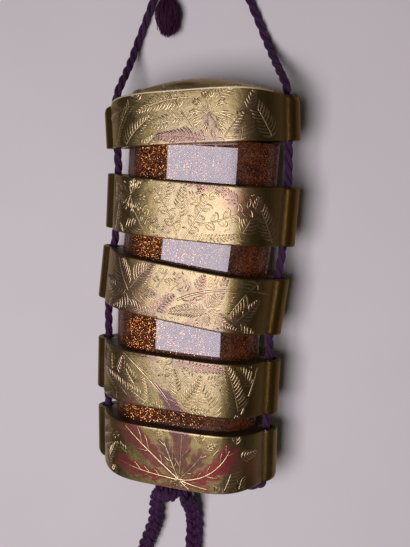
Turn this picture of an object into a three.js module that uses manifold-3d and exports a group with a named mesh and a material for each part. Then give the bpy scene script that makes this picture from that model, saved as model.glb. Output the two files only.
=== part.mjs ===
// A five-part inro: a lid and four trays, stacked on one silk cord and drawn a little apart, lying on its back.
// Millimetres. X runs across the width, Y up the stack towards the lid, Z out of the painted front face.
// The origin is under the middle of the case, on the surface that the backs of the sections rest on.
import * as THREE from "three";
import { mergeVertices } from "three/addons/utils/BufferGeometryUtils.js";
import Module from "manifold-3d";

const manifold = await Module();
manifold.setup();

// ---- Driving dimensions ----
const HALF_DEPTH = 12.36; // middle plane to the crown of the front or back face
const BODY_HALF_WIDTH = 26.2; // where the lens of the body would close
const FULLNESS = 4.5; // how far the faces stay flat before the shoulders fall away
const SHOULDER = 0.75; // how steeply the shoulders fall
const RUNNER_OFFSET = 25.35; // middle plane to the axis of a cord runner
const RUNNER_RADIUS = 3.15; // the half-round cord runner along each end
const CHANNEL_RADIUS = 1.75; // cord channel through a runner
const FLAT_SPOT = 0.15; // taken off the crown of the back, so that a section lies still

const LID_HEIGHT = 13.58; // lower edge to front top edge, at mid-width
const TRAY_HEIGHT = 15.77; // painted shell of an upper tray
const BASE_HEIGHT = 17.46; // painted shell of the lowest tray
const END_DROP = 2.69; // how much lower the lid's edge is at the ends than in the middle
const CORNER_DROP = 1.0; // extra rounding of the very ends
const LID_DOME = 4.3; // rise of the domed top over its edge
const BASE_DOME = 2.5; // swell of the underside below its edge
const DOME_HALF_WIDTH = 26.5; // where both domes run out

const RISER_HEIGHT = 11.4; // inner sleeve standing above a tray's shell
const RISER_HALF_WIDTH = 22.1;
const RISER_HALF_DEPTH = 9.2;
const RISER_WALL = 1.2;
const PLAY = 0.5; // front and back play of a riser in the socket above
const END_PLAY = 0.85; // end play of a riser, which lets the sections tilt on the cord
const SOCKET_DEPTH = 11.8;
const FLOOR = 1.4; // thickness of a tray's floor
const LID_VAULT = 2.9; // how much the inside of the lid is domed
const BASE_FLOOR = 2.9; // edge of the underside to the inside floor of the lowest tray

const OUTLINE_STEPS = 18; // points along each quarter of a body outline
const SLEEVE_STEPS = 11; // points along each quarter of a riser, socket or cavity outline

// Where the middle of each section's lower edge lies, and how far it is turned on the surface.
const SECTIONS = [
  { name: "lid", at: [0.59, 42.47], turn: 4.53 },
  { name: "case_1", at: [0.9, 16.9], turn: -1.28 },
  { name: "case_2", at: [-1.27, -6.19], turn: -5.22 },
  { name: "case_3", at: [-0.87, -31.99], turn: 0.14 },
  { name: "case_4", at: [0.03, -54.95], turn: 1.82 },
];

const CORD_DIAMETER = 2.4;
const CORD_SIDES = 8;
const CHAIN_DIAMETER = 5.6;
const CHAIN_SIDES = 10;
const MEETING_GAP = 0.3; // between two solids that touch in the real thing
const END_PULL = 0.9; // a channel's guiding points lie this far inside its mouths

// ---- Materials ----
const goldLacquer = () =>
  new THREE.MeshStandardMaterial({ color: 0x9a8148, roughness: 0.32, metalness: 0.85 });
const silk = () => new THREE.MeshStandardMaterial({ color: 0x2c1a38, roughness: 0.7, metalness: 0 });

// ---- Outlines ----
// Half-depth of a lens-shaped body at a distance u from its middle.
const lens = (u, halfWidth, halfDepth) =>
  halfDepth * Math.max(0, 1 - Math.abs(u / halfWidth) ** FULLNESS) ** SHOULDER;

// Points (u, w) right round a plain lens, anticlockwise from its right-hand end.
function lensOutline(halfWidth, halfDepth, steps) {
  return Array.from({ length: 4 * steps }, (_, k) => {
    const angle = (k / (4 * steps)) * 2 * Math.PI;
    const u = halfWidth * Math.cos(angle);
    const w = lens(u, halfWidth, halfDepth) * Math.sign(Math.sin(angle));
    return new THREE.Vector2(u, Math.abs(Math.sin(angle)) < 1e-9 ? 0 : w);
  });
}

// The same round the whole section: the faces, and a half-round cord runner at each end.
function sectionOutline() {
  const runnerEdge = Math.PI / 2 - 0.12; // the runner meets the shoulder just short of a quarter turn
  const quarter = [];
  const runnerSteps = 5;
  for (let k = 0; k <= runnerSteps; k++) {
    const a = (k / runnerSteps) * runnerEdge;
    quarter.push([RUNNER_OFFSET + RUNNER_RADIUS * Math.cos(a), RUNNER_RADIUS * Math.sin(a)]);
  }
  const faceEnd = BODY_HALF_WIDTH - 1.1;
  for (let k = 1; k <= OUTLINE_STEPS - runnerSteps; k++) {
    const u = faceEnd * Math.cos((k / (OUTLINE_STEPS - runnerSteps)) * (Math.PI / 2));
    quarter.push([u, lens(u, BODY_HALF_WIDTH, HALF_DEPTH)]);
  }
  const points = [];
  const mirrored = [[1, 1], [-1, 1], [-1, -1], [1, -1]];
  mirrored.forEach(([su, sw], q) => {
    const run = q % 2 ? [...quarter].reverse() : quarter;
    run.slice(0, -1).forEach(([u, w]) => points.push(new THREE.Vector2(su * u, sw * w)));
  });
  return points;
}

// How far an edge is lowered at a distance u from mid-width.
const endDrop = (u) => END_DROP * (u / (RUNNER_OFFSET + RUNNER_RADIUS)) ** 4;
const cornerDrop = (u) => CORNER_DROP * (u / (RUNNER_OFFSET + RUNNER_RADIUS)) ** 8;

// ---- Solids ----
// A closed solid whose rings all follow one outline. Each ring of the profile is [scale, height(u)], from the
// bottom pole (scale 0) to the top pole (scale 0). A lathe gives the skin, and its circles are drawn out to the outline.
function ringed(outline, profile) {
  const lathe = new THREE.LatheGeometry(
    profile.map(([scale], row) => new THREE.Vector2(scale, row)),
    outline.length,
  );
  lathe.deleteAttribute("uv");
  lathe.deleteAttribute("normal");
  const position = lathe.getAttribute("position");
  const rows = profile.length;
  for (let i = 0; i < position.count; i++) {
    const [scale, height] = profile[i % rows];
    const { x: u, y: w } = outline[Math.floor(i / rows) % outline.length];
    position.setXYZ(i, u * scale, height(u * scale), w * scale);
  }
  return lathe;
}

// A plain prism between two heights.
const prism = (outline, low, high) =>
  ringed(outline, [[0, () => low], [1, () => low], [1, () => high], [0, () => high]]);

function toManifold(geometry) {
  const bare = geometry.clone();
  bare.deleteAttribute("normal");
  bare.deleteAttribute("uv");
  const merged = mergeVertices(bare, 1e-4);
  const mesh = new manifold.Mesh({
    numProp: 3,
    vertProperties: merged.attributes.position.array,
    triVerts: new Uint32Array(merged.index.array),
  });
  mesh.merge();
  let made = new manifold.Manifold(mesh);
  if (made.volume() < 0) {
    const flipped = new Uint32Array(merged.index.array);
    for (let i = 0; i < flipped.length; i += 3) {
      [flipped[i + 1], flipped[i + 2]] = [flipped[i + 2], flipped[i + 1]];
    }
    mesh.triVerts = flipped;
    made = new manifold.Manifold(mesh);
  }
  return made;
}

function toGeometry(solid) {
  const { vertProperties, triVerts, numProp } = solid.getMesh();
  if (numProp !== 3) throw new Error("a solid carries more than its positions");
  return new THREE.BufferGeometry()
    .setAttribute("position", new THREE.BufferAttribute(vertProperties, 3))
    .setIndex(new THREE.BufferAttribute(triVerts, 1));
}

// A block that takes the flat spot off the back of a section lying face up.
function flatSpotBlock() {
  const block = new THREE.BoxGeometry(80, 80, 4);
  return block.translate(0, 8, -HALF_DEPTH + FLAT_SPOT - 2);
}

// The two cord channels, right through a section.
function channels() {
  return [-1, 1].map((side) =>
    new THREE.CylinderGeometry(CHANNEL_RADIUS, CHANNEL_RADIUS, 60, 16).translate(side * RUNNER_OFFSET, 10, 0),
  );
}

function carve(outer, joined, hollows) {
  let solid = toManifold(outer);
  joined.forEach((piece) => (solid = solid.add(toManifold(piece))));
  [...hollows, ...channels(), flatSpotBlock()].forEach((hollow) => (solid = solid.subtract(toManifold(hollow))));
  return toGeometry(solid);
}

const shellOutline = sectionOutline();
const riserOutline = lensOutline(RISER_HALF_WIDTH, RISER_HALF_DEPTH, SLEEVE_STEPS);
const socketOutline = lensOutline(RISER_HALF_WIDTH + END_PLAY, RISER_HALF_DEPTH + PLAY, SLEEVE_STEPS);
const cavityOutline = lensOutline(RISER_HALF_WIDTH - RISER_WALL, RISER_HALF_DEPTH - RISER_WALL, SLEEVE_STEPS);

// A swelling surface over (or, with a negative rise, under) an edge at the given height.
const domeRings = (edge, rise, turnUp) =>
  [0.965, 0.9, 0.8, 0.66, 0.48, 0.26, 0].map((scale) => [
    scale,
    (u) =>
      edge -
      turnUp * endDrop(u) +
      rise * (1 - (u / DOME_HALF_WIDTH) ** 2) * (1 - scale ** 2) ** 0.8,
  ]);

// The lid: a domed cap over a vaulted socket.
function lidGeometry() {
  const outer = ringed(shellOutline, [
    [0, () => 0],
    [1, () => 0],
    [1, (u) => LID_HEIGHT - endDrop(u) - cornerDrop(u)],
    ...domeRings(LID_HEIGHT, LID_DOME, 1),
  ]);
  const vault = [0.85, 0.6, 0.3, 0].map((scale) => [
    scale,
    (u) => SOCKET_DEPTH + LID_VAULT * (1 - (u / RISER_HALF_WIDTH) ** 2) * (1 - scale ** 2),
  ]);
  const socket = ringed(socketOutline, [[0, () => -1], [1, () => -1], [1, () => SOCKET_DEPTH], ...vault]);
  return carve(outer, [], [socket]);
}

// An upper tray: the painted shell with a socket below, and the riser above that walls in the tray.
function trayGeometry() {
  return carve(
    prism(shellOutline, 0, TRAY_HEIGHT),
    [prism(riserOutline, TRAY_HEIGHT - 1, TRAY_HEIGHT + RISER_HEIGHT)],
    [
      prism(socketOutline, -1, SOCKET_DEPTH),
      prism(cavityOutline, SOCKET_DEPTH + FLOOR, TRAY_HEIGHT + RISER_HEIGHT + 1),
    ],
  );
}

// The lowest tray: a closed, swelling underside in place of the socket.
function baseGeometry() {
  const underside = domeRings(0, -BASE_DOME, -1).reverse();
  const outer = ringed(shellOutline, [
    ...underside,
    [1, (u) => endDrop(u) + cornerDrop(u)],
    [1, () => BASE_HEIGHT],
    [0, () => BASE_HEIGHT],
  ]);
  return carve(
    outer,
    [prism(riserOutline, BASE_HEIGHT - 1, BASE_HEIGHT + RISER_HEIGHT)],
    [prism(cavityOutline, BASE_FLOOR, BASE_HEIGHT + RISER_HEIGHT + 1)],
  );
}

// ---- Cords ----
function tube(curve, diameter, sides, steps) {
  const ring = Array.from({ length: sides }, (_, k) => {
    const angle = (k / sides) * 2 * Math.PI;
    return new THREE.Vector2(Math.cos(angle), Math.sin(angle)).multiplyScalar(diameter / 2);
  });
  const geometry = new THREE.ExtrudeGeometry(new THREE.Shape(ring), {
    steps,
    extrudePath: curve,
    bevelEnabled: false,
  });
  return toGeometry(toManifold(geometry));
}

const through = (points) =>
  new THREE.CatmullRomCurve3(points.map((p) => (p.isVector3 ? p : new THREE.Vector3(...p))), false, "centripetal");

// A point of a section's own frame, on the surface that the object lies on.
function placed({ at, turn }, u, v, w = 0) {
  return new THREE.Vector3(u, v, w)
    .applyAxisAngle(new THREE.Vector3(0, 0, 1), THREE.MathUtils.degToRad(turn))
    .add(new THREE.Vector3(at[0], at[1], HALF_DEPTH - FLAT_SPOT));
}

// The stretch that the case holds: down one side, under the base, and up the other side.
function lacingRoute() {
  const [lid, ...trays] = SECTIONS;
  const base = trays.pop();
  const side = (s) => [
    placed(lid, s * RUNNER_OFFSET, LID_HEIGHT - END_DROP + CORD_DIAMETER / 2),
    placed(lid, s * RUNNER_OFFSET, END_PULL),
    ...trays.flatMap((tray) => [
      placed(tray, s * RUNNER_OFFSET, TRAY_HEIGHT - END_PULL),
      placed(tray, s * RUNNER_OFFSET, END_PULL),
    ]),
    placed(base, s * RUNNER_OFFSET, BASE_HEIGHT - END_PULL),
    placed(base, s * RUNNER_OFFSET, 9),
    placed(base, s * RUNNER_OFFSET, 3.2),
    placed(base, s * 25.2, 1.3),
    placed(base, s * 24.65, -0.1),
    placed(base, s * 23.3, -1.0),
    placed(base, s * 21, -1.65),
    placed(base, s * 18, -2.35),
    placed(base, s * 13.5, -3.2),
    placed(base, s * 9, -3.8),
  ];
  return [...side(-1), placed(base, 0, -4.15), ...side(1).reverse()];
}

// The free loop above the lid, out of the left channel and back into the right one.
const HANGING_ROUTE = [
  [-25.6, 52.9, 12.2],
  [-25.3, 55.5, 12.0],
  [-24.8, 58.6, 10.8],
  [-24.6, 62.2, 7.9],
  [-24.5, 66.6, 4.3],
  [-23.9, 71.5, 1.9],
  [-22.3, 76.2, 1.25],
  [-20.5, 80.9, 1.22],
  [-19.3, 83.9, 1.22],
  [-18.1, 87.0, 1.22],
  [-15.8, 92.6, 1.22],
  [-12.9, 97.9, 1.22],
  [-9.2, 101.9, 1.22],
  [-4.8, 103.5, 1.22],
  [-0.6, 102.0, 1.22],
  [2.8, 97.4, 1.22],
  [6.0, 91.8, 1.22],
  [8.6, 86.1, 1.22],
  [9.9, 83.1, 1.22],
  [11.3, 80.4, 1.22],
  [13.2, 76.7, 1.25],
  [15.6, 72.0, 1.9],
  [18.4, 67.3, 4.3],
  [21.3, 63.1, 8.0],
  [23.7, 59.7, 11.0],
  [24.8, 57.2, 12.1],
];

// The plaited loop under the base, down to the surface, round, and back.
const CHAIN_ROUTE = [
  [-9.4, -67.3, 7.3],
  [-10.7, -69.5, 5.4],
  [-11.8, -72.2, 3.8],
  [-12.3, -75.4, 2.85],
  [-12.4, -79.8, 2.82],
  [-13.6, -83.8, 2.82],
  [-15.0, -87.8, 2.82],
  [-16.4, -92.2, 2.82],
  [-17.6, -97.4, 2.82],
  [-17.4, -102.8, 2.82],
  [-14.9, -107.9, 2.82],
  [-10.6, -111.2, 2.82],
  [-5.6, -111.6, 2.82],
  [-0.6, -109.4, 2.82],
  [2.7, -105.0, 2.82],
  [3.6, -99.4, 2.82],
  [2.6, -93.6, 2.82],
  [1.4, -88.6, 2.82],
  [1.0, -84.4, 2.82],
  [1.1, -80.4, 2.82],
  [0.9, -76.4, 2.85],
  [0.6, -72.8, 3.7],
  [0.1, -69.7, 5.4],
  [-0.5, -67.2, 7.5],
];

const KNOT_AT = [-14.5, 86.6, 2.9]; // where the ends of the cord are tied, beside the left strand
const KNOT_SIZE = [4.6, 5.6, 5.2];
const TASSEL_LENGTH = 10.3; // the cut ends of the cord, fanned out like a brush
const TASSEL_FAN = 4.15;
const TASSEL_FLATNESS = 0.75;
const TASSEL_LEAN = 6; // degrees off the stack's direction
const LOOP_KNOT_AT = [-5.2, -64.7, 9.6]; // where the plaited loop is hitched to the cord under the base
const LOOP_KNOT_SIZE = [9.4, 7.0, 7.4];

function ball(size, at) {
  return new THREE.SphereGeometry(0.5, 16, 10).scale(...size).translate(...at);
}

function tasselGeometry() {
  const profile = [[0, 0], [0.5, 0], [0.78, 0.15], [0.96, 0.38], [1, 0.58], [0.88, 0.82], [0.62, 1], [0, 1]];
  const lathe = new THREE.LatheGeometry(
    profile.map(([r, t]) => new THREE.Vector2(r * TASSEL_FAN, t * TASSEL_LENGTH)),
    12,
  );
  lathe.rotateZ(Math.PI).scale(1, 1, TASSEL_FLATNESS).rotateZ(THREE.MathUtils.degToRad(TASSEL_LEAN));
  const top = KNOT_AT[1] - KNOT_SIZE[1] / 2 - MEETING_GAP;
  return lathe.translate(KNOT_AT[0], top, TASSEL_FAN * TASSEL_FLATNESS);
}

// ---- Assembly ----
const inro = new THREE.Group();

function add(name, geometry, material) {
  const mesh = new THREE.Mesh(geometry, material);
  mesh.name = name;
  inro.add(mesh);
  return mesh;
}

const shapes = { lid: lidGeometry, case_4: baseGeometry };
SECTIONS.forEach((section) => {
  const mesh = add(section.name, (shapes[section.name] ?? trayGeometry)(), goldLacquer());
  mesh.position.copy(placed(section, 0, 0));
  mesh.rotation.z = THREE.MathUtils.degToRad(section.turn);
});

add("lacing_cord", tube(through(lacingRoute()), CORD_DIAMETER, CORD_SIDES, 78), silk());
add("hanging_cord", tube(through(HANGING_ROUTE), CORD_DIAMETER, CORD_SIDES, 40), silk());
add("cord_knot", ball(KNOT_SIZE, KNOT_AT), silk());
add("cord_tassel", tasselGeometry(), silk());
add("loop_knot", ball(LOOP_KNOT_SIZE, LOOP_KNOT_AT), silk());
add("chain_loop", tube(through(CHAIN_ROUTE), CHAIN_DIAMETER, CHAIN_SIDES, 34), silk());

export default inro;
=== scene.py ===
# An inro drawn apart on its silk cord and laid on its back: a lid and four nested trays in gold lacquer,
# with sprinkled lacquer on the risers between them.
import math
import random

import bmesh
import bpy
import numpy as np
from mathutils import Matrix, Vector


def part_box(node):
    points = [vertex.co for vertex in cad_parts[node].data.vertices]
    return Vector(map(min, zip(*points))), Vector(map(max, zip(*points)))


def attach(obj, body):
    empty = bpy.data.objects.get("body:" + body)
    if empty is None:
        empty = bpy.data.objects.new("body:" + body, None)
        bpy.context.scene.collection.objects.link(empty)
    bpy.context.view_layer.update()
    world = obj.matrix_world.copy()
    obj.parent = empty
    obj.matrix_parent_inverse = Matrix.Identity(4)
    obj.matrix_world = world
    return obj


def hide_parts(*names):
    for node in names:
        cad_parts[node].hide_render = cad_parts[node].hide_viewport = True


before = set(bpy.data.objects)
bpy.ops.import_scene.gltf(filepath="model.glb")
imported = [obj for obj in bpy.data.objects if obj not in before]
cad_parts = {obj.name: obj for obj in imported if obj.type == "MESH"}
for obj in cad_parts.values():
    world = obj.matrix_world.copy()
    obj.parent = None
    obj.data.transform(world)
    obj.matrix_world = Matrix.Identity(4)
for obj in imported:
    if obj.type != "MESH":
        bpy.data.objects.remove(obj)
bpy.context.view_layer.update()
MM = 0.001

# ---- The camera ----
# It looks down on the case from above the right-hand side, level with the second tray.
CAMERA_AT = (0.06362, 0.03985, 0.19162)
CAMERA_TURN = (-9.22, 18.82, 2.68)  # degrees about X, Y and Z
CAMERA_LENS = 43.9
CAMERA_NEAR = 0.005


def stand(name, data):
    """A new object, linked to the scene."""
    made = bpy.data.objects.new(name, data)
    bpy.context.scene.collection.objects.link(made)
    return made


camera_data = bpy.data.cameras.new("camera")
camera_data.lens = CAMERA_LENS
camera_data.clip_start = CAMERA_NEAR
camera = stand("camera", camera_data)
camera.location = CAMERA_AT
camera.rotation_euler = [math.radians(angle) for angle in CAMERA_TURN]
bpy.context.scene.camera = camera


# ---- The silk cord above the lid ----
# A limp cord of three plies, laid up with a right-hand twist and dyed dark purple. It comes out of the
# lid's two channels, drops to the surface and closes in a loop, where a stopper would sit.
class Wire:
    """One socket of a material's node tree. Sums and products of wires become Math nodes."""

    def __init__(self, tree, socket=None):
        self.tree, self.socket = tree, socket

    def node(self, kind, settings=None, inputs=None):
        """Add a node, set it up, fill or link its sockets, and give its first output."""
        made = self.tree.nodes.new(kind)
        for key, value in (settings or {}).items():
            setattr(made, key, value)
        for key, value in (inputs or {}).items():
            if isinstance(value, Wire):
                self.tree.links.new(value.socket, made.inputs[key])
            else:
                made.inputs[key].default_value = value
        return Wire(self.tree, made.outputs[0] if made.outputs else None)

    def out(self, name):
        return Wire(self.tree, self.socket.node.outputs[name])

    def _math(self, operation, a, b=0.0):
        return self.node("ShaderNodeMath", {"operation": operation}, {0: a, 1: b})

    def __add__(self, other):
        return self._math("ADD", self, other)

    def __radd__(self, other):
        return self._math("ADD", other, self)

    def __sub__(self, other):
        return self._math("SUBTRACT", self, other)

    def __rsub__(self, other):
        return self._math("SUBTRACT", other, self)

    def __mul__(self, other):
        return self._math("MULTIPLY", self, other)

    def __rmul__(self, other):
        return self._math("MULTIPLY", other, self)

    def __abs__(self):
        return self._math("ABSOLUTE", self)

    def above(self, limit):
        return self._math("GREATER_THAN", self, limit)

    def vector(self, operation, *others, **named):
        """Vector Math on this vector."""
        inputs = {0: self, **dict(enumerate(others, 1)), **named}
        return self.node("ShaderNodeVectorMath", {"operation": operation}, inputs)

    def fade(self, low, high):
        """0 below low, 1 above high, and smooth between."""
        settings = {"interpolation_type": "SMOOTHSTEP", "clamp": True}
        return self.node("ShaderNodeMapRange", settings, {"Value": self, "From Min": low, "From Max": high})

    def blend(self, a, b):
        """Colour a where this is 0, and b where it is 1."""
        return self.node("ShaderNodeMix", {"data_type": "RGBA"}, {"Factor": self, 6: a, 7: b}).out(2)

    def noise(self, scale, detail=3.0, roughness=0.5):
        """Noise over this vector, as a value."""
        inputs = {"Vector": self, "Scale": scale, "Detail": detail, "Roughness": roughness}
        return self.node("ShaderNodeTexNoise", None, inputs)

    def bump(self, distance, strength):
        inputs = {"Height": self, "Distance": distance, "Strength": strength}
        return self.node("ShaderNodeBump", None, inputs)


def rgb(red, green, blue):
    return (red, green, blue, 1.0)


def material(name):
    """An empty material, and a wire that says where a point lies on its piece."""
    made = bpy.data.materials.new(name)
    made.use_nodes = True
    made.node_tree.nodes.clear()
    return made, Wire(made.node_tree).node("ShaderNodeTexCoord").out("Object")


def finish(place, **inputs):
    """End a material in a Principled shader; a name's underscores stand for spaces."""
    sockets = {key.replace("_", " "): value for key, value in inputs.items()}
    shader = place.node("ShaderNodeBsdfPrincipled", None, sockets)
    place.node("ShaderNodeOutputMaterial", None, {"Surface": shader})


def silk(name, dark, mid, worn_and_lit):
    """Dyed silk: fine threads run round each ply at a slant, and their ridges are paler, partly worn and
    partly painted highlight.
    """
    made, place = material(name)
    along = place.node("ShaderNodeUVMap", {"uv_map": "threads"})
    threads = along.node("ShaderNodeTexWave", {"bands_direction": "DIAGONAL"}, {
        "Vector": along, "Scale": 7.0, "Distortion": 1.2, "Detail": 2.0,
    }).out("Fac")
    fibre = place.noise(2600.0, 3.0, 0.6)
    deep = place.noise(260.0, 2.0).fade(0.35, 0.65).blend(dark, mid)
    colour = (threads * 0.5 + fibre * 0.6).fade(0.48, 0.8).blend(deep, worn_and_lit)
    normal = (threads + fibre * 0.6).bump(0.00012, 0.9)
    finish(
        place, Base_Color=colour, Roughness=0.55, Normal=normal, Sheen_Weight=0.04,
        Sheen_Roughness=0.4, Sheen_Tint=rgb(0.6, 0.35, 0.7), Specular_IOR_Level=0.22,
    )
    return made


SILK = silk(
    "purple_silk", dark=rgb(0.008, 0.0015, 0.008), mid=rgb(0.02, 0.004, 0.02), worn_and_lit=rgb(0.12, 0.036, 0.125),
)
CORD_DIAMETER = 2.4 * MM
CORD_LAY = 10.8 * MM  # length of one whole turn of a ply
PLIES = 3
PLY_SHARE = 0.245  # a ply's radius, as a share of its cord's diameter
STEP = 0.5 * MM  # distance between the points of a route
CURVE_STEPS = 24  # steps of the smooth curve between two chosen points


def run_along(points):
    """The distance of each point from the first, along the line."""
    return np.r_[0, np.cumsum(np.linalg.norm(np.diff(points, axis=0), axis=1))]


def length_of(route):
    return float(run_along(route)[-1])


def spread(points, count):
    """The same line with a given number of points, evenly spaced, ends kept."""
    run = run_along(points)
    at = np.linspace(0, run[-1], count)
    return np.stack([np.interp(at, run, points[:, k]) for k in range(points.shape[1])], 1)


def evenly(points, step):
    """The same line with its points a fixed step apart, ends kept."""
    return spread(points, max(2, round(length_of(points) / step) + 1))


def route_through(points, step=STEP):
    """Evenly spaced points on a smooth curve through a given list."""
    dots = [Vector(p) for p in points]
    dots = [dots[0] * 2 - dots[1], *dots, dots[-1] * 2 - dots[-2]]
    fine = []
    for a, b, c, d in zip(dots, dots[1:], dots[2:], dots[3:]):
        ab, bc, cd = (max((q - p).length, 1e-9) ** 0.5 for p, q in ((a, b), (b, c), (c, d)))
        out = ((b - a) / ab - (c - a) / (ab + bc) + (c - b) / bc) * bc
        into = ((c - b) / bc - (d - b) / (bc + cd) + (d - c) / cd) * bc
        for k in range(CURVE_STEPS):
            t = k / CURVE_STEPS
            fine.append(
                b * (2 * t**3 - 3 * t**2 + 1) + out * (t**3 - 2 * t**2 + t)
                + c * (3 * t**2 - 2 * t**3) + into * (t**3 - t**2)
            )
    fine.append(dots[-2])
    return evenly(np.array([tuple(p) for p in fine]), step)


def sides_along(route):
    """Side and up directions at each point, turned as little as possible from one to the next."""
    tangents = np.gradient(route, axis=0)
    tangents /= np.linalg.norm(tangents, axis=1)[:, None]
    side = np.cross(tangents[0], (0.0, 0.0, 1.0))
    sides = []
    for tangent in tangents:
        side = side - tangent * side.dot(tangent)
        side /= np.linalg.norm(side)
        sides.append(side)
    sides = np.array(sides)
    return sides, np.cross(sides, tangents)


def plies_round(route, diameter, ply, lay):
    """The centre lines of a cord's three plies, twisted round its route."""
    side, up = sides_along(route)
    run = run_along(route)
    lines = []
    for k in range(PLIES):
        angle = 2 * math.pi * (run / lay + k / PLIES)
        out = np.cos(angle)[:, None] * side + np.sin(angle)[:, None] * up
        lines.append(route + (diameter / 2 - ply) * out)
    return lines


def strands(name, lines, radius, facets=2):
    """One mesh of round strands along the given lines, with a UV map that runs along and round each strand.
    A point's fourth number, where it has one, thins or thickens its strand."""
    curve = bpy.data.curves.new(name, "CURVE")
    curve.dimensions = "3D"
    curve.bevel_depth = radius
    curve.bevel_resolution = facets
    curve.use_fill_caps = True
    for line in lines:
        spline = curve.splines.new("POLY")
        spline.points.add(len(line) - 1)
        for point, at in zip(spline.points, line):
            point.co = (*at[:3], 1.0)
            point.radius = at[3] if len(at) > 3 else 1.0
    holder = stand(name, curve)
    mesh = bpy.data.meshes.new_from_object(holder.evaluated_get(bpy.context.evaluated_depsgraph_get()))
    bpy.data.objects.remove(holder)
    mesh.name = name
    mesh.shade_smooth()
    mesh.uv_layers[0].name = "threads"
    return mesh


def piece(name, mesh, *finishes):
    """Link a finished mesh as a piece of the case, riding on its one body."""
    for one in finishes:
        mesh.materials.append(one)
    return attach(stand(name, mesh), "root")


def silk_piece(name, mesh, look=SILK):
    return piece(name, mesh, look)


def rope(name, route, diameter=CORD_DIAMETER):
    """Three plies that fill a cord of the given diameter."""
    ply = diameter * PLY_SHARE
    return strands(name, plies_round(route, diameter, ply, CORD_LAY * diameter / CORD_DIAMETER), ply)


# The cord's route out of the left channel, round, and back into the right one, in millimetres.
HANGING_ROUTE = [
    (-25.6, 52.9, 12.2), (-25.3, 55.5, 12.0), (-24.8, 58.6, 10.8), (-24.6, 62.2, 7.9), (-24.5, 66.6, 4.3),
    (-23.9, 71.5, 1.9), (-22.3, 76.2, 1.25), (-20.5, 80.9, 1.22), (-19.3, 83.9, 1.22), (-18.1, 87.0, 1.22),
    (-15.8, 92.6, 1.22), (-12.9, 97.9, 1.22), (-9.2, 101.9, 1.22), (-4.8, 103.5, 1.22), (-0.6, 102.0, 1.22),
    (2.8, 97.4, 1.22), (6.0, 91.8, 1.22), (8.6, 86.1, 1.22), (9.9, 83.1, 1.22), (11.3, 80.4, 1.22),
    (13.2, 76.7, 1.25), (15.6, 72.0, 1.9), (18.4, 67.3, 4.3), (21.3, 63.1, 8.0), (23.7, 59.7, 11.0),
    (24.8, 57.2, 12.1),
]

hanging_route = route_through(HANGING_ROUTE, STEP / MM) * MM
hanging_cord = silk_piece("hanging_cord_silk", rope("hanging_cord_silk", hanging_route))
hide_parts("hanging_cord")

# ---- The knot and the tassel ----
# The two ends of the cord are tied together beside the left strand. Past the knot the plies are combed out
# into their threads and cut short, like a brush.
KNOT_TURN = (0.35, 2 * math.pi + 0.2)  # where its line starts and ends, round the knot
KNOT_POINTS = 110
KNOT_LOOPS = 3
KNOT_DEPTH = 0.6  # how much of its height the crossings take up
KNOT_CORD = CORD_DIAMETER * 0.8  # pulled tight
KNOT_SPARE = CORD_DIAMETER * 0.36  # from the knot's outside to the middle of its cord
# A lighter, more magenta copy of the cord's silk: painted sheen that the tassel's loose threads catch.
TASSEL_SILK = silk(
    "tassel_silk", dark=rgb(0.022, 0.004, 0.016), mid=rgb(0.055, 0.008, 0.036), worn_and_lit=rgb(0.26, 0.04, 0.17),
)
TASSEL_ENDS = 460
TASSEL_POINTS = 10
TASSEL_THREAD = 0.13 * MM
TASSEL_ROOT = 0.9 * MM  # how far its threads start inside the knot
TASSEL_ROUNDED = 0.2  # how much shorter the outermost threads are cut
TASSEL_RAGGED = 0.22  # and how much shorter any thread may be
TASSEL_LEAN = (-0.5 * MM, 0.7 * MM)  # sideways at its root, and from there to its tip
TASSEL_WAVER = (0.2 * MM, 0.6 * MM)  # how far a thread sways
TASSEL_STRAY = (-0.16, 0.1)  # how much further in or out the tip of a thread may lie
TASSEL_INSET = (0.35 * MM, 0.2 * MM)  # how far inside its solid the threads stay, across and up


def knot_line():
    """An overhand knot, as the middle line of its cord, fitted to the solid that it replaces."""
    low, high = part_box("cord_knot")
    turn = np.linspace(*KNOT_TURN, KNOT_POINTS)
    x = (np.sin(turn) + 2 * np.sin(2 * turn)) / 3
    y = (np.cos(turn) - 2 * np.cos(2 * turn)) / 3
    z = -np.sin(KNOT_LOOPS * turn) * KNOT_DEPTH
    reach = np.array((high - low) / 2) - KNOT_SPARE
    return np.array((low + high) / 2) + np.stack([x, y, z], 1) * reach


def bushed(t):
    """How far the threads have spread at a share of their length. They draw in again a little at the tip."""
    drawn_in = 0.22 * max(0.0, t - 0.55) / 0.45
    return math.sin(min(1.0, 0.16 + t * 1.15) * math.pi / 2) ** 0.9 * (1 - drawn_in)


def tassel_lines():
    """The combed-out threads, springing from the knot into a bush and cut nearly level."""
    low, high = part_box("cord_tassel")
    draw = random.Random(7)
    middle, half = (low + high) / 2, (high - low) / 2
    reach_x, reach_z = half.x - TASSEL_INSET[0], half.z - TASSEL_INSET[1]
    lines = []
    for _ in range(TASSEL_ENDS):
        turn, out = draw.uniform(0, 2 * math.pi), math.sqrt(draw.uniform(0.03, 1))
        length = 2 * half.y * (1.0 - TASSEL_ROUNDED * out**3 - draw.uniform(0, TASSEL_RAGGED))
        waver, phase = draw.uniform(*TASSEL_WAVER), draw.uniform(0, 6)
        stray = draw.uniform(*TASSEL_STRAY)
        line = []
        for t in np.linspace(0, 1, TASSEL_POINTS):
            swell = out * bushed(t) * (1 + stray * t)
            x = middle.x + TASSEL_LEAN[0] + TASSEL_LEAN[1] * t + math.cos(turn) * swell * reach_x
            x += waver * math.sin(7 * t + phase) * t
            y = high.y + TASSEL_ROOT - (length + TASSEL_ROOT) * t
            z = middle.z + math.sin(turn) * swell * reach_z
            line.append((x, y, max(z, TASSEL_INSET[1]), 1.2 - 0.3 * t))
        lines.append(line)
    return lines


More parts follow.
